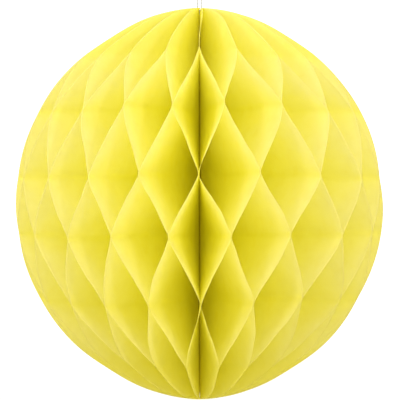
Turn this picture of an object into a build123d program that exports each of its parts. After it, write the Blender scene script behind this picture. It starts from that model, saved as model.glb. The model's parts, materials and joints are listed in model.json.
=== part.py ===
from build123d import *
import math
import os

# Paper honeycomb ball, 20 cm size: tissue half-discs bound along one straight
# spine and glued to each other in offset strips, so the stack fans out through
# a full turn and opens into a ball of lozenge cells.
#
# Millimetres, +Z up along the spine, origin on the spine's axis at the lowest
# point of the opened ball. The two card covers meet back to back on the +Y side,
# so the -Y side is the ball's face. Azimuth is in degrees from +Y, counter-clockwise
# seen from above. Seam column n lies between leaves n and n + 1; columns 0 and
# N_LEAVES lie against the covers. Heights are counted from the ball's centre, and
# every piece is lifted by CENTRE_Z when it is exported.

# ---------------------------------------------------------------- tissue
DISC_R = 100.0            # cutting radius of every tissue half-disc
SPINE_OFFSET = 6.8        # the spine edge is cut this far in front of the disc centre
N_LEAVES = 40
TISSUE_T = 0.04
GLUE_GAP = 0.02           # adhesive film between two glued leaves
STRIP_H = 4.0             # height of one glue strip
HALF_STRIP = STRIP_H / 2
ROW_STEP = math.radians(4.2)  # longest arc of rim between two fold rows
INNER_R = 0.6             # the leaves' bound edge clears the binding thread
WELL_R_TOP = 1.7          # bound edge near the top pole, round the knot and the thread eye
WELL_R_BOTTOM = 1.0       # the same near the bottom pole, round the knot only
WELL_Z = 94.6             # height at which the bound edge starts to step out
WELL_RAMP = 0.8           # height over which it does so
POLE_R_TOP = 2.5          # rim radius at which a leaf is cut off at the top pole
POLE_R_BOTTOM = 1.5       # the same at the bottom pole
LEAN_TOP = 1.5            # sideways lean of the face's rims on reaching the top pole
LEAN_BOTTOM = 1.0         # the same at the bottom pole
LEAN_START = 80.0         # height at which the lean starts
LEAN_FULL = 92.0          # height at which it is fully there
PULL_IN = 1.6             # how far the rim is drawn in near the poles
PULL_Z = 84.0             # height of the strongest draw-in
PULL_W = 8.0              # its spread
REST_TOP = 0.12           # how far a pair opens again between the top strip and the pole
REST_BOTTOM = 0.14        # the same at the bottom

# Heights of the glue strips. Strips 0, 2, 4 join leaves 2m and 2m+1; strips
# 1, 3, 5 join leaves 2m-1 and 2m.
STRIP_Z = [75.1, 46.0, 13.6, -15.2, -47.4, -80.1]

# Hand-made unevenness of the glued seams: for each strip, (column, degrees of
# azimuth, millimetres of height) departures from an even ball.
SEAM_SHIFT = [
    [(0, 0.0, 0.0), (6, 1.2, -1.2), (12, 3.8, -2.0), (16, 4.2, -2.1),
     (18, 3.0, -1.1), (20, -0.3, 0.0), (22, -0.9, -0.7), (24, -0.5, -3.6),
     (26, 0.4, -3.0), (32, 1.4, -1.0), (40, 0.0, 0.0)],
    [(0, 0.0, 0.0), (7, 0.6, 0.8), (13, 3.6, -1.2), (15, 3.1, -1.7),
     (17, 1.6, 0.2), (19, 0.4, -0.7), (21, -1.0, 0.8), (23, 0.7, 0.1),
     (25, 2.2, -1.9), (27, 2.6, -1.0), (34, -0.6, 0.9), (40, 0.0, 0.0)],
    [(0, 0.0, 0.0), (6, -0.8, 0.9), (12, 3.2, -1.0), (14, 3.0, -1.3),
     (16, 1.9, -1.3), (18, 0.4, 0.1), (20, -0.2, 0.0), (22, -0.4, 0.8),
     (24, 1.7, -0.4), (26, 2.7, -1.7), (28, 2.4, -1.0), (34, 0.8, 0.7), (40, 0.0, 0.0)],
    [(0, 0.0, 0.0), (5, 0.9, -0.7), (11, 3.2, 0.2), (13, 3.4, -0.4),
     (15, 2.8, -1.4), (17, 0.8, 0.1), (19, 0.1, 0.0), (21, -0.1, 0.1),
     (23, 0.0, 0.9), (25, 2.0, -0.1), (27, 2.5, 0.6), (33, 0.4, -0.8), (40, 0.0, 0.0)],
    [(0, 0.0, 0.0), (6, 1.6, 0.8), (12, 4.6, -0.8), (14, 4.5, -1.0),
     (16, 2.6, -1.0), (18, 1.0, -0.1), (20, 0.4, -0.1), (22, 0.1, 1.1),
     (24, -0.6, 2.5), (26, 1.6, 0.5), (32, 0.2, -0.9), (40, 0.0, 0.0)],
    [(0, 0.0, 0.0), (7, 3.6, 0.6), (13, 7.6, 0.4), (15, 7.0, 0.4),
     (17, 4.6, -0.1), (19, 2.3, 0.0), (21, 0.8, -0.1), (23, -1.8, 0.0),
     (25, -3.3, -0.2), (27, -4.2, 0.3), (33, -2.6, -0.6), (40, 0.0, 0.0)],
]

# ---------------------------------------------------------------- covers and tape
CARD_T = 0.4
CARD_R = DISC_R - 1.0     # the card is cut one millimetre smaller than the tissue
CARD_INNER_R = 7.0        # the card stops short of the spine so the ball can close flat
CARD_CHORDS = 96          # straight chords in the card's rim
MIDDLE_R = CARD_INNER_R - 0.6  # a leaf's middle line of points, just inside the card's edge
TAPE_T = 0.1              # space between the covers for the double-sided tape
TAPE_GAP = 0.02           # part of it left free beside the moving cover
TAPE_W = 10.0
TAPE_L = 30.0
TAPE_INSET = 3.0          # tape to the card's rim
TAPE_Z = {"bottom": -58.0, "middle": 0.0, "top": 58.0}

# ---------------------------------------------------------------- threads
THREAD_R = 0.35           # binding thread up the spine
THREAD_END = 96.3         # its half-length
KNOT_R = 0.8              # stopper knots on the binding thread
KNOT_H = 1.0
KNOT_TURNS = 2
KNOT_INSET = 0.15         # the thread's end sits this far inside its knot
KNOT_BORE_R = THREAD_R + 0.02
KNOT_CORE_INSET = 0.7     # core inside the knot's outside, in turn radii
KNOT_CORE_H = 0.92        # height of the core as a part of the knot's
KNOT_LOW = THREAD_END - KNOT_H + KNOT_INSET  # height of the top knot's underside
EYE_MAJOR = 0.95          # small thread eye above the top knot
EYE_MINOR = 0.22
EYE_CLEAR = 0.04          # eye to knot
EYE_Z = KNOT_LOW + KNOT_H + EYE_CLEAR + EYE_MINOR + EYE_MAJOR
CORD_R = 0.3              # hanging thread
CORD_SPREAD = 2.1         # distance between its two strands
CORD_TOP = 220.0          # height of the loop's centreline at its top
CORD_CLEAR = 0.03         # thread to thread clearance where the loop meets the eye


# ---------------------------------------------------------------- leaf shape
def rim_radius(z):
    """Distance of a leaf's rim from the spine at height z."""
    pull = PULL_IN * math.exp(-((abs(z) - PULL_Z) / PULL_W) ** 2)
    return math.sqrt(max(DISC_R ** 2 - z * z, 0.0)) - SPINE_OFFSET - pull


def pole_height(radius):
    """Height at which the rim has come in to a radius, found by halving."""
    low, high = 90.0, 99.9
    for _ in range(60):
        middle = 0.5 * (low + high)
        if rim_radius(middle) > radius:
            low = middle
        else:
            high = middle
    return low


POLE_TOP = pole_height(POLE_R_TOP)
POLE_BOTTOM = pole_height(POLE_R_BOTTOM)
CENTRE_Z = POLE_BOTTOM    # height of the ball's centre above the origin


def clamp(value):
    return min(1.0, max(0.0, value))


def interpolate(x, table):
    """Piecewise linear value at x in a table of (x, value), held at its ends."""
    if x <= table[0][0]:
        return table[0][1]
    for (x0, y0), (x1, y1) in zip(table, table[1:]):
        if x <= x1:
            return y0 + (y1 - y0) * (x - x0) / (x1 - x0)
    return table[-1][1]


def seam_azimuth(column, strip):
    shift = interpolate(column, [(c, degrees) for c, degrees, _ in SEAM_SHIFT[strip]])
    return 360.0 / N_LEAVES * column + shift


def seam_rise(column, strip):
    """Height of a glued seam above its strip's even height."""
    return interpolate(column, [(c, rise) for c, _, rise in SEAM_SHIFT[strip]])


def pole_lean(column, z):
    """Degrees a seam turns sideways near the poles, strongest at the ball's face."""
    ramp = clamp((abs(z) - LEAN_START) / (LEAN_FULL - LEAN_START))
    lean = LEAN_TOP if z > 0 else LEAN_BOTTOM
    face = 1.0 - abs(column - N_LEAVES / 2) / (N_LEAVES / 2)
    return face * ramp * math.degrees(math.atan(lean / rim_radius(z)))


def glued_column(leaf, strip):
    """Odd leaves are glued at their lower column on even strips, even leaves at their upper."""
    return leaf - 1 if (leaf + strip) % 2 == 1 else leaf


def row_heights():
    """Heights of a leaf's fold rows at the spine, bottom to top, strip edges included."""
    fixed = [-POLE_BOTTOM, POLE_TOP]
    for z in (WELL_Z, WELL_Z + WELL_RAMP):
        fixed += [z, -z]
    for z in STRIP_Z:
        fixed += [z - HALF_STRIP, z + HALF_STRIP]
    fixed.sort()
    rows = [fixed[0]]
    for low, high in zip(fixed, fixed[1:]):
        start, end = math.asin(low / DISC_R), math.asin(high / DISC_R)
        steps = max(1, math.ceil((end - start) / ROW_STEP))
        if high - low < STRIP_H + 0.01:  # no folds within a glue strip
            steps = 1
        for i in range(1, steps + 1):
            rows.append(DISC_R * math.sin(start + (end - start) * i / steps))
    return rows


ROWS = row_heights()


def bound_radius(z):
    """Distance of a leaf's bound edge from the spine at height z."""
    well = WELL_R_TOP if z > 0 else WELL_R_BOTTOM
    return INNER_R + (well - INNER_R) * clamp((abs(z) - WELL_Z) / WELL_RAMP)


def side_offset(leaf, column, r):
    """Sideways distance of a leaf's middle surface from the seam plane."""
    offset = (TISSUE_T + GLUE_GAP) / 2
    if column in (0, N_LEAVES):
        # an end leaf moves aside to lie on its card
        on_card = TAPE_T / 2 + CARD_T + GLUE_GAP + TISSUE_T / 2
        offset += (on_card - offset) * clamp((r - INNER_R) / (MIDDLE_R - INNER_R))
    return offset if column == leaf - 1 else -offset


def pole_blend(leaf, strip, z, pole, rest):
    """Blend from an end strip to its pole, where a glued pair opens again a little."""
    edge = abs(STRIP_Z[strip]) + HALF_STRIP
    weight = rest * max(0.0, (abs(z) - edge) / (pole - edge)) / 2
    column = glued_column(leaf, strip)
    other = leaf - 1 if column == leaf else leaf
    return [(1 - weight, seam_azimuth(column, strip) + pole_lean(column, z), column),
            (weight, seam_azimuth(other, strip) + pole_lean(other, z), other)]


def seam_blend(leaf, z):
    """The two seams a leaf runs between at height z: [(weight, azimuth, column), ...]."""
    last = len(STRIP_Z) - 1
    if z >= STRIP_Z[0] - HALF_STRIP:
        return pole_blend(leaf, 0, z, POLE_TOP, REST_TOP)
    if z <= STRIP_Z[last] + HALF_STRIP:
        return pole_blend(leaf, last, z, POLE_BOTTOM, REST_BOTTOM)
    upper = max(i for i in range(last) if z <= STRIP_Z[i] + HALF_STRIP)
    top = STRIP_Z[upper] - HALF_STRIP
    bottom = STRIP_Z[upper + 1] + HALF_STRIP
    weight = clamp((top - z) / (top - bottom))
    blend = []
    for share, strip in ((1 - weight, upper), (weight, upper + 1)):
        column = glued_column(leaf, strip)
        blend.append((share, seam_azimuth(column, strip), column))
    return blend


def rim_rise_table(leaf):
    """(height at the spine, rise of the rim above it) along a leaf, bottom to top."""
    table = [(-POLE_BOTTOM, 0.0)]
    for strip in reversed(range(len(STRIP_Z))):
        rise = seam_rise(glued_column(leaf, strip), strip)
        table += [(STRIP_Z[strip] - HALF_STRIP, rise), (STRIP_Z[strip] + HALF_STRIP, rise)]
    return table + [(POLE_TOP, 0.0)]


def leaf_side(leaf, side):
    """Rows of (bound edge, middle, rim) points on one side of a leaf.

    Side 1 faces increasing azimuth, side -1 decreasing.
    """
    rises = rim_rise_table(leaf)
    grid = []
    for z_spine in ROWS:
        rise = interpolate(z_spine, rises)
        blend = seam_blend(leaf, z_spine)
        azimuth = math.radians(sum(weight * degrees for weight, degrees, _ in blend))
        rim = rim_radius(z_spine + rise)
        inner = bound_radius(z_spine)
        row = []
        for r in (inner, min(MIDDLE_R, 0.5 * (inner + rim)), rim):
            lateral = sum(weight * side_offset(leaf, column, r) for weight, _, column in blend)
            lateral += side * TISSUE_T / 2
            row.append((
                -r * math.sin(azimuth) - lateral * math.cos(azimuth),
                r * math.cos(azimuth) - lateral * math.sin(azimuth),
                z_spine + rise * (r - inner) / (rim - inner),
            ))
        grid.append(row)
    return grid


def tissue_leaf(leaf):
    """One folded tissue leaf as a closed sheet of planar triangles."""
    minus, plus = leaf_side(leaf, -1), leaf_side(leaf, 1)
    triangles = []

    def quad(a, b, c, d):
        triangles.extend([(a, b, c), (a, c, d)])

    last = len(ROWS) - 1
    for i in range(last):
        for c in (0, 1):
            quad(plus[i][c], plus[i][c + 1], plus[i + 1][c + 1], plus[i + 1][c])
            quad(minus[i + 1][c + 1], minus[i][c + 1], minus[i][c], minus[i + 1][c])
        quad(plus[i][2], minus[i][2], minus[i + 1][2], plus[i + 1][2])
        quad(minus[i][0], plus[i][0], plus[i + 1][0], minus[i + 1][0])
    for c in (0, 1):
        quad(minus[0][c], minus[0][c + 1], plus[0][c + 1], plus[0][c])
        quad(plus[last][c], plus[last][c + 1], minus[last][c + 1], minus[last][c])
    faces = [Face(Wire.make_polygon(list(corners), close=True)) for corners in triangles]
    return Solid(Shell(faces))


# ---------------------------------------------------------------- other pieces
def card_cover(x_low):
    """A card half-disc parallel to YZ, its rim cut in short straight chords."""
    reach = math.acos((CARD_INNER_R + SPINE_OFFSET) / CARD_R)
    outline = []
    for i in range(CARD_CHORDS + 1):
        angle = -reach + 2 * reach * i / CARD_CHORDS
        outline.append((0.0, CARD_R * math.cos(angle) - SPINE_OFFSET, CARD_R * math.sin(angle)))
    face = Face(Wire.make_polygon(outline, close=True))
    return Pos(x_low, 0, 0) * Solid.extrude(face, Vector(CARD_T, 0, 0))


def adhesive_tape(z):
    """A piece of tape near the covers' rim, on the fixed cover."""
    card_edge = math.sqrt(CARD_R ** 2 - (abs(z) + TAPE_L / 2) ** 2) - SPINE_OFFSET
    y = card_edge - TAPE_INSET - TAPE_W / 2
    return Pos(-TAPE_GAP / 2, y, z) * Box(TAPE_T - TAPE_GAP, TAPE_W, TAPE_L)


def spine_thread():
    return Cylinder(THREAD_R, 2 * THREAD_END).solids()[0]


def spine_knot(z_low):
    """A stopper knot: thread wound round the binding thread in a few turns."""
    turn_r = KNOT_H / KNOT_TURNS / 2
    centre = Pos(0, 0, z_low + KNOT_H / 2)
    core = Cylinder(KNOT_R - turn_r * KNOT_CORE_INSET, KNOT_H * KNOT_CORE_H)
    shape = centre * (core - Cylinder(KNOT_BORE_R, KNOT_H))
    for i in range(KNOT_TURNS):
        z = z_low + turn_r * (2 * i + 1)
        shape = shape + Pos(0, 0, z) * Torus(KNOT_R - turn_r, turn_r)
    shape = shape - centre * Cylinder(KNOT_BORE_R, KNOT_H * 3)
    return shape.solids()[0]


def thread_eye():
    """A ring standing over the top knot, in the YZ plane."""
    return (Pos(0, 0, EYE_Z) * Rot(0, 90, 0) * Torus(EYE_MAJOR, EYE_MINOR)).solids()[0]


def hanging_cord():
    """A long loop in the XZ plane, its lower bend passing under the top of the eye."""
    bend_r = CORD_SPREAD / 2
    bight_z = EYE_Z + EYE_MAJOR - EYE_MINOR - CORD_CLEAR - CORD_R
    low = bight_z + bend_r
    high = CORD_TOP - bend_r
    strand_z = (low + high) / 2
    cord = (
        Pos(-bend_r, 0, strand_z) * Cylinder(CORD_R, high - low)
        + Pos(bend_r, 0, strand_z) * Cylinder(CORD_R, high - low)
    )
    ring = Rot(90, 0, 0) * Torus(bend_r, CORD_R)
    half_space = Box(20, 20, 10)
    upper = ring & Pos(0, 0, 5) * half_space
    lower = ring & Pos(0, 0, -5) * half_space
    cord = cord + Pos(0, 0, high) * upper + Pos(0, 0, low) * lower
    return cord.solids()[0]


# ---------------------------------------------------------------- build and export
pieces = {f"tissue_leaf_{leaf:02d}": tissue_leaf(leaf) for leaf in range(1, N_LEAVES + 1)}

# the fixed cover is on leaf 1's side of the seam plane (-X), the moving one on +X
pieces["cover_card_fixed"] = card_cover(-TAPE_T / 2 - CARD_T)
pieces["cover_card_moving"] = card_cover(TAPE_T / 2)
for place, tape_z in TAPE_Z.items():
    pieces[f"adhesive_tape_{place}"] = adhesive_tape(tape_z)
pieces["spine_thread"] = spine_thread()
pieces["spine_knot_top"] = spine_knot(KNOT_LOW)
pieces["spine_knot_bottom"] = spine_knot(-KNOT_LOW - KNOT_H)
pieces["thread_eye"] = thread_eye()
pieces["hanging_cord"] = hanging_cord()

os.makedirs("parts", exist_ok=True)
for name, piece in pieces.items():
    export_step(Pos(0, 0, CENTRE_Z) * piece, f"parts/{name}.step")
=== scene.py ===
# The looks of a paper honeycomb ball, in metres. The spine runs up the Z axis, the tissue leaves
# stand round it like the pages of an open book, and the camera looks along +Y from the front.
# Every leaf is rebuilt as one fine folded sheet from the rows of its CAD solid, the thread parts
# as twisted two-ply thread, and the cards and tape keep their CAD shape.
import json
import math

import bpy
import numpy as np
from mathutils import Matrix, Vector


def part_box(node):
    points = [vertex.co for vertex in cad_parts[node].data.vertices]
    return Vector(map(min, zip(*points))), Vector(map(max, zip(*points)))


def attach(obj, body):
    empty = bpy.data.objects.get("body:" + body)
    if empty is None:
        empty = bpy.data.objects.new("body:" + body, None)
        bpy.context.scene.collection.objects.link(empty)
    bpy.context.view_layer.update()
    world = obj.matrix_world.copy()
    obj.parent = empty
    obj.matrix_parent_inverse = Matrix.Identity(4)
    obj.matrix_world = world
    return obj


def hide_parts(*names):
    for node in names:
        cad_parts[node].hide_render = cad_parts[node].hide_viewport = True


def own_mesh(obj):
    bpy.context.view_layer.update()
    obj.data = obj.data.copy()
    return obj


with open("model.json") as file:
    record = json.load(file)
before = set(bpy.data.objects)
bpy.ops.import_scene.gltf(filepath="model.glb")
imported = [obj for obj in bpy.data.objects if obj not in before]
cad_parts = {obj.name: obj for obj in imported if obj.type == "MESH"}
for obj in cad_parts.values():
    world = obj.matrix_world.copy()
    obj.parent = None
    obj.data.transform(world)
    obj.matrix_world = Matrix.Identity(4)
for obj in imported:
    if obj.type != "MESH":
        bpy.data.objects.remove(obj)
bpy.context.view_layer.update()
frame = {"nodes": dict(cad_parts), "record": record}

LEAVES = sorted(n for n in frame["nodes"] if n.startswith("tissue_leaf_"))
COUNT = len(LEAVES)
BALL_R = 0.1

card_low, card_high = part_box("cover_card_fixed")
CENTRE_Z = (card_low.z + card_high.z) / 2   # the cards reach as far above the centre as below
leaf_low, leaf_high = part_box(LEAVES[0])
TOP = leaf_high.z - CENTRE_Z                # leaf ends, from the ball's centre
BOTTOM = leaf_low.z - CENTRE_Z


# ------------------------------------------------------------------ helpers
def hash_noise(ix, iy, seed):
    """One repeatable number in -1..1 for each lattice point."""
    mixed = ix.astype(np.int64) * 374761393 + iy.astype(np.int64) * 668265263
    mixed = (mixed + int(seed) * 974634777) & 0xFFFFFFFF
    mixed = ((mixed ^ (mixed >> 13)) * 1274126177) & 0xFFFFFFFF
    mixed = (mixed ^ (mixed >> 16)) & 0xFFFFFFFF
    return mixed.astype(float) / 0xFFFFFFFF * 2 - 1


def noise(x, y, seed):
    """Smooth repeatable noise in -1..1, one unit between lattice points."""
    ix, iy = np.floor(x), np.floor(y)
    fx, fy = x - ix, y - iy
    fx = fx * fx * fx * (fx * (fx * 6 - 15) + 10)
    fy = fy * fy * fy * (fy * (fy * 6 - 15) + 10)
    near = hash_noise(ix, iy, seed) * (1 - fx) + hash_noise(ix + 1, iy, seed) * fx
    far = hash_noise(ix, iy + 1, seed) * (1 - fx) + hash_noise(ix + 1, iy + 1, seed) * fx
    return near * (1 - fy) + far * fy


def smoothstep(x):
    return x * x * (3 - 2 * x)


def make_mesh(name, verts, faces, smooth=None):
    mesh = bpy.data.meshes.new(name)
    mesh.from_pydata([tuple(v) for v in verts], [], faces)
    mesh.polygons.foreach_set("use_smooth", smooth or [True] * len(faces))
    mesh.update()
    obj = bpy.data.objects.new(name, mesh)
    bpy.context.scene.collection.objects.link(obj)
    return obj


def stand_in(obj, node):
    """Let obj replace a CAD node and move with the node's body."""
    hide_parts(node)
    bodies = frame["record"]["behaviour"]["bodies"]
    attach(obj, next(body for body, members in bodies.items() if node in members))


# ------------------------------------------------------------- node helpers
def new_material(name):
    material = bpy.data.materials.new(name)
    material.use_nodes = True
    material.node_tree.nodes.clear()
    return material, material.node_tree


def add(tree, kind, inputs=None, **settings):
    """Add a shader node, link or set its inputs, and return its outputs."""
    node = tree.nodes.new("ShaderNode" + kind)
    for name, value in settings.items():
        setattr(node, name, value)
    for key, value in (inputs or {}).items():
        if isinstance(value, bpy.types.NodeSocket):
            tree.links.new(value, node.inputs[key])
        else:
            node.inputs[key].default_value = value
    return node.outputs


def object_place(tree):
    return add(tree, "TexCoord")["Object"]


def noise_texture(tree, vector, **inputs):
    return add(tree, "TexNoise", {"Vector": vector, **inputs})["Fac"]


def ramp(tree, factor, stops):
    """Colour ramp through (position, rgb) stops, two or more."""
    node = tree.nodes.new("ShaderNodeValToRGB")
    node.color_ramp.interpolation = "EASE"
    elements = node.color_ramp.elements
    for _ in stops[2:]:
        elements.new(0.5)
    for element, (position, rgb) in zip(elements, stops):
        element.position = position
        element.color = (*rgb, 1)
    tree.links.new(factor, node.inputs["Fac"])
    return node.outputs["Color"]


def map_range(tree, value, to_min, to_max, from_min=0.0, from_max=1.0, kind="LINEAR"):
    return add(tree, "MapRange", {
        "Value": value, "From Min": from_min, "From Max": from_max,
        "To Min": to_min, "To Max": to_max,
    }, interpolation_type=kind)["Result"]


def mix_colour(tree, factor, first, second, **settings):
    inputs = {"Fac": factor, "Color1": first, "Color2": second}
    return add(tree, "MixRGB", inputs, **settings)["Color"]


def mix_shader(tree, factor, first, second):
    return add(tree, "MixShader", {"Fac": factor, 1: first, 2: second})["Shader"]


def bump(tree, height, strength, distance, **inputs):
    inputs.update(Height=height, Strength=strength, Distance=distance)
    return add(tree, "Bump", inputs)["Normal"]


def principled(tree, colour, roughness, **inputs):
    """Principled shader; underscores in the input names stand for spaces."""
    named = {name.replace("_", " "): value for name, value in inputs.items()}
    named.update({"Base Color": colour, "Roughness": roughness})
    return add(tree, "BsdfPrincipled", named)["BSDF"]


def surface(tree, shader):
    add(tree, "OutputMaterial", {"Surface": shader})


# ---------------------------------------------------------------- materials
def spine_painted_glow(tree, place):
    """Painted glow near the spine: emission that stands in for the light that seeps through many
    sheets at once.
    """
    flat = add(tree, "VectorMath", {0: place, 1: (1, 1, 0)}, operation="MULTIPLY")["Vector"]
    away = add(tree, "VectorMath", {0: flat}, operation="LENGTH")["Value"]
    return map_range(tree, away, to_min=0.020, to_max=0.0,
                     from_min=0.002, from_max=0.016, kind="SMOOTHSTEP")


def tissue_material():
    """Lemon tissue paper: cloudy pulp, fine fibres, light through the sheet, a faint sheen,
    painted shade along the cut rim and a painted glow near the spine.
    """
    material, tree = new_material("tissue")
    place = object_place(tree)
    cloud = noise_texture(tree, place, Scale=160, Detail=5, Roughness=0.62)
    # long fibres, stretched along the sheet's height
    stretched = add(tree, "Mapping", {"Vector": place, "Scale": (1.0, 1.0, 0.28)})["Vector"]
    fibre = noise_texture(tree, stretched, Scale=1500, Detail=3, Distortion=0.8)
    pulp = ramp(tree, cloud, [
        (0.30, (0.955, 0.832, 0.270)),
        (0.52, (0.965, 0.850, 0.295)),
        (0.75, (0.975, 0.866, 0.325)),
    ])
    # painted shade: the cut rim is painted a shade deeper, to tone down the glow it catches from
    # light on both sides
    rim = add(tree, "Attribute", attribute_name="rim")["Fac"]
    colour = mix_colour(tree, rim, pulp, (0.925, 0.800, 0.235, 1))
    # light that has gone from sheet to sheet keeps its red and green
    depth = add(tree, "LightPath")["Ray Depth"]
    glow = mix_colour(tree, depth, colour, (0.972, 0.966, 0.240, 1), use_clamp=True)
    # wrinkles, then fibres on top
    wrinkle = noise_texture(tree, stretched, Scale=260, Detail=4)
    wrinkled = bump(tree, wrinkle, strength=0.10, distance=0.0004)
    normal = bump(tree, fibre, strength=0.16, distance=0.00008, Normal=wrinkled)
    # the face carries the painted glow near the spine as its emission
    face = principled(
        tree, glow, map_range(tree, fibre, to_min=0.72, to_max=0.90),
        Specular_IOR_Level=0.22, Normal=normal,
        Emission_Color=(1.0, 0.84, 0.02, 1), Emission_Strength=spine_painted_glow(tree, place),
    )
    through = add(tree, "BsdfTranslucent", {"Color": glow, "Normal": normal})["BSDF"]
    share = map_range(tree, cloud, to_min=0.54, to_max=0.46)
    outside = mix_shader(tree, share, face, through)
    # one sheet scatters once: light already inside the thin solid leaves on the far side
    inside = add(tree, "BsdfTranslucent", {"Color": (1, 1, 1, 1)})["BSDF"]
    backfacing = add(tree, "NewGeometry")["Backfacing"]
    surface(tree, mix_shader(tree, backfacing, outside, inside))
    return material


def card_material():
    """Smooth dyed card: faint pulp clouding, fine felt grain, scuffed edges."""
    material, tree = new_material("card")
    place = object_place(tree)
    cloud = noise_texture(tree, place, Scale=90, Detail=6)
    grain = noise_texture(tree, place, Scale=1900, Detail=2)
    dye = ramp(tree, cloud, [
        (0.3, (0.80, 0.665, 0.050)),
        (0.55, (0.85, 0.72, 0.065)),
        (0.8, (0.88, 0.76, 0.085)),
    ])
    pointiness = add(tree, "NewGeometry")["Pointiness"]
    worn = ramp(tree, pointiness, [(0.50, (0, 0, 0)), (0.56, (1, 1, 1))])
    surface(tree, principled(
        tree, mix_colour(tree, worn, dye, (0.90, 0.80, 0.25, 1)),
        map_range(tree, cloud, to_min=0.55, to_max=0.75),
        Specular_IOR_Level=0.35,
        Normal=bump(tree, grain, strength=0.25, distance=0.00005),
    ))
    return material


def tape_material():
    """Double-sided tissue tape: milky, slightly glossy where the adhesive shows."""
    material, tree = new_material("tape")
    web = add(tree, "TexVoronoi", {"Vector": object_place(tree), "Scale": 900},
              feature="DISTANCE_TO_EDGE")["Distance"]
    surface(tree, principled(
        tree, ramp(tree, web, [(0.0, (0.78, 0.78, 0.72)), (0.25, (0.88, 0.88, 0.84))]),
        map_range(tree, web, to_min=0.28, to_max=0.5),
        Normal=bump(tree, web, strength=0.2, distance=0.00003),
    ))
    return material


def thread_material(name, dark, light):
    """Spun thread: the plies are in the mesh, the fibres in the bump."""
    material, tree = new_material(name)
    place = object_place(tree)
    fuzz = noise_texture(tree, place, Scale=5200, Detail=3)
    tone = noise_texture(tree, place, Scale=420)
    surface(tree, principled(
        tree, ramp(tree, tone, [(0.3, dark), (0.7, light)]),
        map_range(tree, fuzz, to_min=0.5, to_max=0.72),
        Sheen_Weight=0.3,
        Normal=bump(tree, fuzz, strength=0.5, distance=0.00003),
    ))
    return material


TISSUE = tissue_material()
CARD = card_material()
TAPE = tape_material()
THREAD = thread_material("thread", dark=(0.33, 0.33, 0.32), light=(0.46, 0.46, 0.45))
BINDING = thread_material("binding", dark=(0.74, 0.62, 0.07), light=(0.84, 0.72, 0.10))


# -------------------------------------------------------------- tissue leaf
# Telling the points of a CAD leaf apart by their distance from the spine. The rows within
# POLE_BAND of the leaf's ends are short and have limits of their own.
POLE_BAND = 0.00025
INNER_LIMIT, INNER_LIMIT_BOTTOM = 0.00177, 0.00112
RIM_LIMIT, RIM_LIMIT_TOP, RIM_LIMIT_BOTTOM = 0.0066, 0.0023, 0.00137
OUTER_PART = 0.02         # points beyond this give the leaf's own direction
SAME_ROW = 2e-6           # heights closer than this are one row

STRIP = 0.004             # height of a flat stretch of the zigzag, where the leaf is glued
BEND_REACH = 0.0009       # the sheets come apart this far above and below a strip's centre
FOLD_SOFTNESS = 0.0006    # the corners of the zigzag are rounded over this height
SHEET_HALF = 0.00002      # half the sheet's thickness
RIM_SHADE_BAND = 0.0016         # width of the band of painted shade along the cut rim

ROUND_ROWS = 132          # rows spaced evenly along the round rim
STRIP_CLEAR = 0.0042      # those rows give way to closer ones this near a strip's centre
STRIP_ROWS = (-0.0040, -0.0031, -0.0024, -0.0018, -0.0010, 0.0,
              0.0010, 0.0018, 0.0024, 0.0031, 0.0040)
# columns, as shares of the way from the bound edge to the rim
SHARES = np.array([0.0, 0.028, 0.07, 0.13, 0.20, 0.28, 0.36, 0.44, 0.52, 0.60,
                   0.68, 0.75, 0.815, 0.87, 0.915, 0.95, 0.975, 0.991, 1.0])
BEND_COLUMN = 2           # this column follows the CAD leaf's mid line where it can

# Layers of noise: size, height scale, height shift per sheet, radius scale, radius shift
# per sheet, first seed
SEAM_SWAY = 0.00055       # how far the glued seams wander, times these layers
SWAY_LAYERS = (
    (1.0, 0.045, 3.1, 0.06, 0, 11),
    (0.4, 0.02, 0, 0.04, 1.7, 71),
)
SHEET_LAYERS = (
    (0.0005, 0.024, 9.7, 0.045, 0, 200),       # slow belly
    (0.00022, 0.0075, 5.3, 0.032, 0, 300),     # radial puckers
    (0.00008, 0.0034, 0, 0.012, 2.9, 400),     # small creases
)
CURL_LAYERS = ((0.00045, 0.017, 4.1, math.inf, 0, 500),)   # cut rim, the same at every radius


def noise_layers(layers, r, z, number):
    return sum(
        size * noise(z / z_scale + z_shift * number, r / r_scale + r_shift * number, seed + number)
        for size, z_scale, z_shift, r_scale, r_shift, seed in layers
    )


def merge_rows(points):
    """One mean point per row: the two faces of the sheet share each row's height."""
    points = points[np.argsort(points[:, 2], kind="stable")]
    rows, group = [], [points[0]]
    for point in points[1:]:
        if point[2] - group[0][2] < SAME_ROW:
            group.append(point)
        else:
            rows.append(np.mean(group, 0))
            group = [point]
    rows.append(np.mean(group, 0))
    return np.array(rows)


def leaf_rows(node):
    """The fold rows of a CAD leaf, from the bottom up: bound edge, mid line and rim as points in
    the leaf's own axes (out from the spine, across the leaf, up), with the first two axes."""
    points = np.array([v.co for v in frame["nodes"][node].data.vertices], float)
    points[:, 2] -= CENTRE_Z
    points = np.unique(np.round(points, 7), axis=0)
    r = np.hypot(points[:, 0], points[:, 1])
    far = points[r > OUTER_PART]
    out = np.array([far[:, 0].mean(), far[:, 1].mean(), 0.0])
    out /= np.linalg.norm(out)
    across = np.array([-out[1], out[0], 0.0])  # to the next leaf, counter-clockwise from above
    local = np.stack([points @ out, points @ across, points[:, 2]], 1)
    top = points[:, 2] > TOP - POLE_BAND
    bottom = points[:, 2] < BOTTOM + POLE_BAND
    inner = r < np.where(bottom, INNER_LIMIT_BOTTOM, INNER_LIMIT)
    rim_limit = np.where(top, RIM_LIMIT_TOP, np.where(bottom, RIM_LIMIT_BOTTOM, RIM_LIMIT))
    rim = (r > rim_limit) & ~inner
    lines = [merge_rows(local[mask]) for mask in (inner, ~inner & ~rim, rim)]
    if not len(lines[0]) == len(lines[1]) == len(lines[2]):
        counts = [len(line) for line in lines]
        raise RuntimeError(f"{node}: the rows of the CAD leaf could not be read, {counts}")
    return lines, out, across


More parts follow.
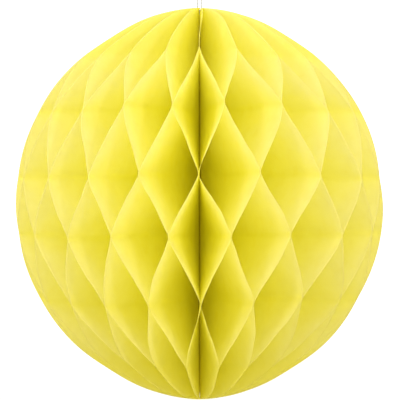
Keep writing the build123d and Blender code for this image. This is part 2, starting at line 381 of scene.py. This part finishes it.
def cubic(x, xs, ys):
    """Monotone cubic through the points, so a rim stays a smooth arc."""
    step = np.diff(xs)
    rise = np.diff(ys) / step
    slope = np.zeros(len(xs))
    slope[0], slope[-1] = rise[0], rise[-1]
    same = rise[:-1] * rise[1:] > 0
    before, after = 2 * step[1:] + step[:-1], step[1:] + 2 * step[:-1]
    with np.errstate(divide="ignore", invalid="ignore"):
        inside = (before + after) / (before / rise[:-1] + after / rise[1:])
    slope[1:-1] = np.where(same, inside, 0.0)
    i = np.clip(np.searchsorted(xs, x) - 1, 0, len(step) - 1)
    t = (x - xs[i]) / step[i]
    return (
        ys[i] * (1 + 2 * t) * (1 - t) ** 2
        + slope[i] * step[i] * t * (1 - t) ** 2
        + ys[i + 1] * t * t * (3 - 2 * t)
        + slope[i + 1] * step[i] * t * t * (t - 1)
    )


def soft_corners(x, xs, ys, width):
    """Straight runs between the points with their corners rounded over width."""
    fine = np.linspace(xs[0] - 4 * width, xs[-1] + 4 * width, 2600)
    flat = np.interp(fine, xs, ys)
    step = fine[1] - fine[0]
    reach = int(3 * width / step)
    kernel = np.exp(-0.5 * (np.arange(-reach, reach + 1) * step / width) ** 2)
    kernel /= kernel.sum()
    padded = np.concatenate([np.full(reach, flat[0]), flat, np.full(reach, flat[-1])])
    return np.interp(x, fine, np.convolve(padded, kernel, mode="valid"))


def strip_centres(azimuths, heights):
    """Heights at which the leaf is glued: the flat stretches of its zigzag."""
    level = np.abs(np.diff(azimuths)) < 0.002
    flat = level & (np.abs(np.diff(heights) - STRIP) < 0.00005)
    return [0.5 * (heights[i] + heights[i + 1]) for i in range(len(flat)) if flat[i]]


def fine_rows(heights, strips):
    """Row heights: even along the round rim, closer at the glue strips."""
    ends = [math.asin(heights[i] / BALL_R) for i in (0, -1)]
    rows = list(BALL_R * np.sin(np.linspace(*ends, ROUND_ROWS)))
    for strip in strips:
        rows = [q for q in rows if abs(q - strip) > STRIP_CLEAR]
        rows += [strip + step for step in STRIP_ROWS]
    rows = np.array(sorted(rows))
    rows[0], rows[-1] = heights[0], heights[-1]
    return rows


def fold_bends(heights, strips):
    """The row heights with those at a strip drawn in, so the crossing at the rim is short."""
    bends = heights.copy()
    for strip in strips:
        for way in (-1, 1):
            i = int(np.argmin(np.abs(heights - (strip + way * STRIP / 2))))
            bends[i] = strip + way * BEND_REACH
    return bends


def seam_side(rows, strips, theta, glued):
    """Where each row lies between the leaf's two seams: 0 on the lower azimuth, 1 on the
    higher. glued holds the azimuths of the strips."""
    upper = []
    for i in range(len(glued)):
        neighbours = [glued[j] for j in (i - 1, i + 1) if 0 <= j < len(glued)]
        upper.append(glued[i] > np.mean(neighbours))
    upper = np.array(upper)
    low = np.interp(rows, np.array(strips)[~upper], glued[~upper])
    high = np.interp(rows, np.array(strips)[upper], glued[upper])
    return np.clip((theta - low) / (high - low), 0, 1)


def looseness(rows, strips, side):
    """How freely each row may wander: not at the glue, the seams or the poles."""
    from_strip = np.min([np.abs(rows - strip) for strip in strips], 0)
    loose = smoothstep(np.clip((from_strip - 0.0025) / 0.009, 0, 1))
    pole = np.clip((0.078 - np.abs(rows)) / 0.010, 0, 1)
    return loose * np.clip(4 * side * (1 - side), 0, 1) * pole


def seam_sway(seam, r, z):
    """How far a glued seam wanders sideways, shared by the two leaves it joins."""
    if seam in (0, COUNT):
        return np.zeros_like(r)
    far = np.clip(r / 0.093, 0, 1) ** 1.3 * np.clip((0.080 - np.abs(z)) / 0.008, 0, 1)
    return far * SEAM_SWAY * noise_layers(SWAY_LAYERS, r, z, seam)


def sheet_drift(number, r, z, side, loose):
    """Sideways wander of the sheet: its seams, its own softness and the curl of its rim."""
    side, loose = side[:, None], loose[:, None]
    drift = (1 - side) * seam_sway(number - 1, r, z) + side * seam_sway(number, r, z)
    on_card = number in (1, COUNT)
    freedom = 0.35 if on_card else 1.0
    reach = smoothstep(np.clip(r / 0.055, 0, 1))
    drift += freedom * reach * loose * noise_layers(SHEET_LAYERS, r, z, number)
    curl = np.clip((SHARES - 0.86) / 0.14, 0, 1) ** 2
    drift += freedom * loose * curl[None, :] * noise_layers(CURL_LAYERS, r, z, number)
    if on_card:
        # the first and last sheets stay off their card
        away = 1 if number == 1 else -1
        near = np.clip(((side if number == 1 else 1 - side) - 0.15) / 0.6, 0, 1)
        drift = near * drift + (1 - near) * away * np.maximum(away * drift, 0)
    return drift


def sheet_faces(n_row, n_col):
    """Faces and smooth flags of a thin solid: two grids of points and the border between."""
    n = n_row * n_col
    faces, smooth = [], []
    for i in range(n_row - 1):
        for j in range(n_col - 1):
            a, b = i * n_col + j, i * n_col + j + 1
            c, d = a + n_col, b + n_col
            faces += [(a, b, d, c), (n + a, n + c, n + d, n + b)]
            smooth += [True, True]
    border = list(range(n_col))
    border += [i * n_col + n_col - 1 for i in range(1, n_row)]
    border += [(n_row - 1) * n_col + j for j in range(n_col - 2, -1, -1)]
    border += [i * n_col for i in range(n_row - 2, 0, -1)]
    for a, b in zip(border, border[1:] + border[:1]):
        faces.append((a, n + a, n + b, b))
        smooth.append(False)
    return faces, smooth


def sheet_points(r, z, theta, lateral, out, across):
    """Points of both faces of the sheet, lateral being its offset from its radial plane."""
    c, s = np.cos(theta)[:, None], np.sin(theta)[:, None]
    along_out = r * c - lateral * s
    along_across = r * s + lateral * c
    up = (z[..., None] + CENTRE_Z) * np.array([0.0, 0.0, 1.0])
    verts = []
    for sign in (-1, 1):
        qx = along_out - sign * SHEET_HALF * s
        qy = along_across + sign * SHEET_HALF * c
        verts.append((qx[..., None] * out + qy[..., None] * across + up).reshape(-1, 3))
    return np.concatenate(verts)


def tissue_leaf(node, number):
    (inner, mid, rim), out, across = leaf_rows(node)
    heights = inner[:, 2]
    azimuths = np.arctan2(rim[:, 1], rim[:, 0])
    strips = strip_centres(azimuths, heights)
    rows = fine_rows(heights, strips)
    bends = fold_bends(heights, strips)

    def soft(values):
        return soft_corners(rows, bends, values, FOLD_SOFTNESS)

    def radius(line):
        return np.hypot(line[:, 0], line[:, 1])

    def plane_offset(line):
        """Sideways offset of a line from the radial plane through the rim."""
        return -np.sin(azimuths) * line[:, 0] + np.cos(azimuths) * line[:, 1]

    # near the poles, where the sheets share little room, rows keep the CAD leaf's azimuths
    from_end = np.minimum(rows - heights[0], heights[-1] - rows)
    open_part = np.clip((from_end - 0.004) / 0.006, 0, 1)
    theta = open_part * soft(azimuths) + (1 - open_part) * np.interp(rows, heights, azimuths)

    rim_r = cubic(rows, heights, radius(rim))[:, None]
    rim_z = cubic(rows, heights, rim[:, 2])
    inner_r = np.interp(rows, heights, radius(inner))[:, None]
    mid_r = np.interp(rows, heights, radius(mid))[:, None]
    share = np.repeat(SHARES[None, :], len(rows), 0)
    bend = ((mid_r - inner_r) / (rim_r - inner_r))[:, 0]
    between = (bend > 0.04) & (bend < 0.12)   # it still lies between the columns beside it
    share[:, BEND_COLUMN] = np.where(between, bend, share[:, BEND_COLUMN])
    r = inner_r + (rim_r - inner_r) * share
    z = rows[:, None] + (rim_z - rows)[:, None] * share

    # the CAD offset along each row: from bound edge to mid line, then to nothing at the rim
    inner_offset = soft(plane_offset(inner))[:, None]
    mid_offset = soft(plane_offset(mid))[:, None]
    offset = np.where(
        r < mid_r,
        inner_offset
        + (mid_offset - inner_offset) * (r - inner_r) / np.maximum(mid_r - inner_r, 1e-6),
        mid_offset * (1 - (r - mid_r) / np.maximum(rim_r - mid_r, 1e-6)),
    )
    side = seam_side(rows, strips, theta, np.interp(strips, heights, azimuths))
    loose = looseness(rows, strips, side)
    lateral = offset + sheet_drift(number, r, z, side, loose)

    verts = sheet_points(r, z, theta, lateral, out, across)
    obj = make_mesh(f"{node}_sheet", verts, *sheet_faces(len(rows), len(SHARES)))
    # mask of the painted shade along the cut rim, kept in the rim attribute
    rim_shade_mask = np.clip((r - (rim_r - RIM_SHADE_BAND)) / RIM_SHADE_BAND, 0, 1) ** 1.5
    attribute = obj.data.attributes.new("rim", "FLOAT", "POINT")
    both_faces = np.concatenate([rim_shade_mask.ravel()] * 2)
    attribute.data.foreach_set("value", both_faces.astype(np.float32))
    obj.data.materials.append(TISSUE)
    stand_in(obj, node)
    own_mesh(obj)


for leaf_number, leaf in enumerate(LEAVES, start=1):
    tissue_leaf(leaf, leaf_number)


# ------------------------------------------------------------------- thread
WAIST, LOBE = 0.56, 0.44   # shares of the radius: the section's waist, and what its lobes add


def unit(vector):
    return vector / np.linalg.norm(vector)


def two_ply(name, path, radius, pitch, closed, material, sides):
    """A two-ply twisted thread along a path: a figure-of-eight section that turns as it goes."""
    path = np.array(path, float)
    if closed:
        tangent = np.roll(path, -1, 0) - np.roll(path, 1, 0)
    else:
        tangent = np.gradient(path, axis=0)
    tangent /= np.linalg.norm(tangent, axis=1)[:, None]
    # carry a frame along the path without twist
    u = [unit(np.cross(tangent[0], [0.0, 1.0, 0.0]))]
    for t in tangent[1:]:
        u.append(unit(u[-1] - t * (u[-1] @ t)))
    u = np.array(u)
    w = np.cross(tangent, u)
    steps = np.linalg.norm(np.diff(path, axis=0), axis=1)
    lengths = np.concatenate([[0], np.cumsum(steps)])
    total = lengths[-1]
    frame_turn = 0.0
    if closed:
        # close the frame's own turn over the whole length
        total += np.linalg.norm(path[0] - path[-1])
        last = unit(u[-1] - tangent[0] * (u[-1] @ tangent[0]))
        frame_turn = -math.atan2(last @ w[0], last @ u[0])
    turns = max(1, round(2 * total / pitch)) / 2
    spins = (2 * math.pi * turns + frame_turn) * lengths / total
    angles = np.arange(sides) * 2 * math.pi / sides
    reaches = radius * (WAIST + LOBE * np.abs(np.cos(angles)) ** 1.2)
    verts = []
    for point, a, b, spin in zip(path, u, w, spins):
        for angle, reach in zip(angles, reaches):
            verts.append(point + reach * (math.cos(angle + spin) * a + math.sin(angle + spin) * b))
    n = len(path)
    faces = []
    for i in range(n if closed else n - 1):
        j = (i + 1) % n
        for k in range(sides):
            m = (k + 1) % sides
            faces.append((i * sides + k, i * sides + m, j * sides + m, j * sides + k))
    smooth = [True] * len(faces)
    if not closed:
        faces.append(tuple(range(sides - 1, -1, -1)))
        faces.append(tuple((n - 1) * sides + k for k in range(sides)))
        smooth += [False, False]
    obj = make_mesh(name, verts, faces, smooth)
    obj.data.materials.append(material)
    return obj


def spine_thread():
    """Binding thread up the spine."""
    low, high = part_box("spine_thread")
    inset = 0.0001
    path = [(0, 0, z) for z in np.linspace(low.z + inset, high.z - inset, 1150)]
    spine = two_ply("spine_thread_twisted", path, radius=(high.x - low.x) / 2, pitch=0.0022,
                    closed=False, material=BINDING, sides=14)
    stand_in(spine, "spine_thread")


def spine_knot(node):
    """A stopper knot at one end of the spine: a wound coil of thread."""
    low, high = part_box(node)
    thread_r = 0.00021
    turns = 2.75
    coil_r = (high.x - low.x) / 2 - thread_r - 0.00003
    coil = []
    for t in np.linspace(0, 1, 190):
        angle = 2 * math.pi * turns * t
        z = low.z + thread_r + (high.z - low.z - 2 * thread_r) * t
        coil.append((coil_r * math.cos(angle), coil_r * math.sin(angle), z))
    knot = two_ply(f"{node}_wound", coil, radius=thread_r, pitch=0.0011,
                   closed=False, material=BINDING, sides=12)
    stand_in(knot, node)


def thread_eye():
    """Ring of thread above the top knot, in the YZ plane."""
    low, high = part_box("thread_eye")
    centre = (low + high) / 2
    thread_r = (high.x - low.x) / 2
    ring_r = (high.z - low.z) / 2 - thread_r
    ring = [
        (0, centre.y + ring_r * math.cos(a), centre.z + ring_r * math.sin(a))
        for a in np.linspace(0, 2 * math.pi, 150, endpoint=False)
    ]
    eye = two_ply("thread_eye_twisted", ring, radius=thread_r, pitch=0.0010,
                  closed=True, material=THREAD, sides=12)
    stand_in(eye, "thread_eye")


def hanging_cord():
    """Hanging thread: two upright strands joined in a bend at each end."""
    low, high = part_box("hanging_cord")
    cord_r = (high.y - low.y) / 2
    half_gap = (high.x - low.x) / 2 - cord_r
    z0, z1 = low.z + cord_r + half_gap, high.z - cord_r - half_gap
    heights = np.arange(z0, z1, 0.00022)

    def strand_point(x, z, phase):
        """Thread is never quite straight: a slow wander that fades out at both ends."""
        hold = math.sin(math.pi * (z - z0) / (z1 - z0)) ** 2
        dx = hold * 0.00016 * math.sin(z * 95 + phase)
        dy = hold * 0.00020 * math.sin(z * 71 + 2 * phase + 1)
        return x + dx, dy, z

    def bend_point(z, angle):
        return half_gap * math.cos(angle), 0, z + half_gap * math.sin(angle)

    loop = [strand_point(-half_gap, z, -1.3) for z in heights]
    loop += [bend_point(z1, a) for a in np.linspace(math.pi, 0, 18)]
    loop += [strand_point(half_gap, z, 0.9) for z in heights[::-1][1:]]
    loop += [bend_point(z0, a) for a in np.linspace(0, -math.pi, 18)[1:-1]]
    cord = two_ply("hanging_cord_twisted", loop, radius=cord_r, pitch=0.0014,
                   closed=True, material=THREAD, sides=14)
    stand_in(cord, "hanging_cord")


spine_thread()
for knot_node in ("spine_knot_top", "spine_knot_bottom"):
    spine_knot(knot_node)
thread_eye()
hanging_cord()


# ------------------------------------------------- CAD parts that are shown
def finish_with(node, material):
    obj = frame["nodes"][node]
    if not obj.material_slots:
        obj.data.materials.append(material)
    for slot in obj.material_slots:
        slot.link = "OBJECT"
        slot.material = material


for card in ("cover_card_fixed", "cover_card_moving"):
    finish_with(card, CARD)
for part in frame["nodes"]:
    if part.startswith("adhesive_tape"):
        finish_with(part, TAPE)


# -------------------------------------------------------------------- stage
FLOOR_Z = CENTRE_Z - 0.42
FRONT_Y, BACK_Y = -1.9, 1.5
SWEEP_TOP_Z = 1.9
SWEEP_HALF_WIDTH = 2.4
SWEEP_R = 0.5             # bend between floor and background
GLOW_FROM, GLOW_TO = FLOOR_Z + 0.02, FLOOR_Z + 0.40

LIGHT_DISTANCE = 1.35
LIGHT_GAIN = 1.06         # on the power of every light
WHITE = (1, 1, 1)
# name, azimuth and elevation in degrees, disk size, power, colour
LIGHTS = (
    ("key_right", 30, 12, 0.10, 2.6, WHITE),
    ("soft_right", 41, 12, 0.20, 0.8, WHITE),
    ("side_right", 56, 12, 0.12, 0.65, WHITE),
    ("far_right", 80, 12, 0.30, 0.9, WHITE),
    ("key_left", -38, 12, 0.25, 3.0, WHITE),
    ("side_left", -46, 12, 0.25, 0.4, WHITE),
    ("far_left", -80, 12, 0.30, 1.3, WHITE),
    ("front", 0, 12, 0.30, 0.6, WHITE),
    ("high_left", -45, 50, 0.45, 1.6, (0.97, 0.99, 1.2)),
    ("high_front", 0, 50, 0.45, 2.0, (0.97, 0.99, 1.25)),
)


def stage_material():
    """Matt white paper that glows more and more with height, as an overlit background does."""
    material, tree = new_material("studio_white")
    place = object_place(tree)
    white = (0.80, 0.79, 0.70)
    speck = noise_texture(tree, place, Scale=14)
    tint = ramp(tree, speck, [(0.3, tuple(c * 0.985 for c in white)), (0.7, white)])
    # the colour the ball is lit by is set apart from the colour the camera sees
    depth = add(tree, "LightPath")["Ray Depth"]
    seen = mix_colour(tree, depth, tint, (0.58, 0.56, 0.30, 1), use_clamp=True)
    height = add(tree, "SeparateXYZ", {"Vector": place})["Z"]
    glow = map_range(tree, height, to_min=0.0, to_max=0.85,
                     from_min=GLOW_FROM, from_max=GLOW_TO, kind="SMOOTHSTEP")
    face = principled(tree, seen, 0.9, Specular_IOR_Level=0.1,
                      Emission_Color=(1, 1, 1, 1), Emission_Strength=glow)
    # seen from behind, the paper is left out
    clear = add(tree, "BsdfTransparent")["BSDF"]
    backfacing = add(tree, "NewGeometry")["Backfacing"]
    surface(tree, mix_shader(tree, backfacing, face, clear))
    return material


def studio_sweep():
    """Floor that bends up into the background."""
    bend_y = BACK_Y - SWEEP_R
    profile = [(FRONT_Y, FLOOR_Z), (bend_y, FLOOR_Z)]
    for a in np.linspace(0, math.pi / 2, 24)[1:]:
        profile.append((bend_y + SWEEP_R * math.sin(a), FLOOR_Z + SWEEP_R - SWEEP_R * math.cos(a)))
    profile.append((BACK_Y, SWEEP_TOP_Z))
    verts = [(x, y, z) for y, z in profile for x in (-SWEEP_HALF_WIDTH, SWEEP_HALF_WIDTH)]
    faces = [(2 * i, 2 * i + 1, 2 * i + 3, 2 * i + 2) for i in range(len(profile) - 1)]
    sweep = make_mesh("studio_sweep", verts, faces)
    sweep.data.materials.append(stage_material())


def disk_light(name, azimuth, elevation, size, power, colour):
    """A light aimed at the ball's centre: azimuth 0 is in front, positive to the right."""
    light = bpy.data.lights.new(name, "AREA")
    light.shape = "DISK"
    light.size = size
    light.energy = power * LIGHT_GAIN
    light.color = colour
    obj = bpy.data.objects.new(name, light)
    az, el = math.radians(azimuth), math.radians(elevation)
    place = Vector((
        LIGHT_DISTANCE * math.sin(az) * math.cos(el),
        -LIGHT_DISTANCE * math.cos(az) * math.cos(el),
        LIGHT_DISTANCE * math.sin(el),
    ))
    obj.location = place + Vector((0, 0, CENTRE_Z))
    obj.rotation_euler = (Vector((0, 0, 0)) - place).to_track_quat("-Z", "Y").to_euler()
    obj.visible_camera = False
    bpy.context.scene.collection.objects.link(obj)


def studio_world():
    """Soft surroundings, brighter and cooler overhead, warmer below."""
    world = bpy.data.worlds.new("studio")
    world.use_nodes = True
    tree = world.node_tree
    direction = add(tree, "TexCoord")["Generated"]
    height = add(tree, "SeparateXYZ", {"Vector": direction})["Z"]
    strength = map_range(tree, height, to_min=0.62, to_max=0.96,
                         from_min=-0.5, from_max=0.9, kind="SMOOTHSTEP")
    cast = map_range(tree, height, to_min=0.0, to_max=1.0,
                     from_min=-0.7, from_max=0.9, kind="SMOOTHSTEP")
    tone = mix_colour(tree, cast, (1.0, 0.975, 0.75, 1), (0.96, 0.985, 1.30, 1))
    # the camera itself sees the surroundings without that cast
    camera_ray = add(tree, "LightPath")["Is Camera Ray"]
    colour = mix_colour(tree, camera_ray, tone, (0.97, 0.97, 0.97, 1))
    background = tree.nodes["Background"]
    tree.links.new(colour, background.inputs["Color"])
    tree.links.new(strength, background.inputs["Strength"])
    bpy.context.scene.world = world


def front_camera():
    """Long lens, level with the ball's centre."""
    lens = bpy.data.cameras.new("camera")
    lens.sensor_width = 36
    lens.lens = 141.12
    lens.shift_x = 0.001
    lens.shift_y = 0.00875
    lens.clip_start = 0.01
    lens.clip_end = 20
    camera = bpy.data.objects.new("camera", lens)
    camera.location = (0, -0.8, CENTRE_Z)
    camera.rotation_euler = (math.pi / 2, 0, 0)
    bpy.context.scene.collection.objects.link(camera)
    bpy.context.scene.camera = camera


def render_settings():
    view = bpy.context.scene.view_settings
    view.view_transform = "Standard"
    view.look = "None"
    view.exposure = 0.0
    view.gamma = 1.0
    # light passes through many sheets before it leaves the ball
    cycles = bpy.context.scene.cycles
    cycles.max_bounces = 40
    cycles.diffuse_bounces = 40
    cycles.transmission_bounces = 40
    cycles.caustics_reflective = False


studio_sweep()
for light_row in LIGHTS:
    disk_light(*light_row)
studio_world()
front_camera()
render_settings()

bpy.context.view_layer.update()
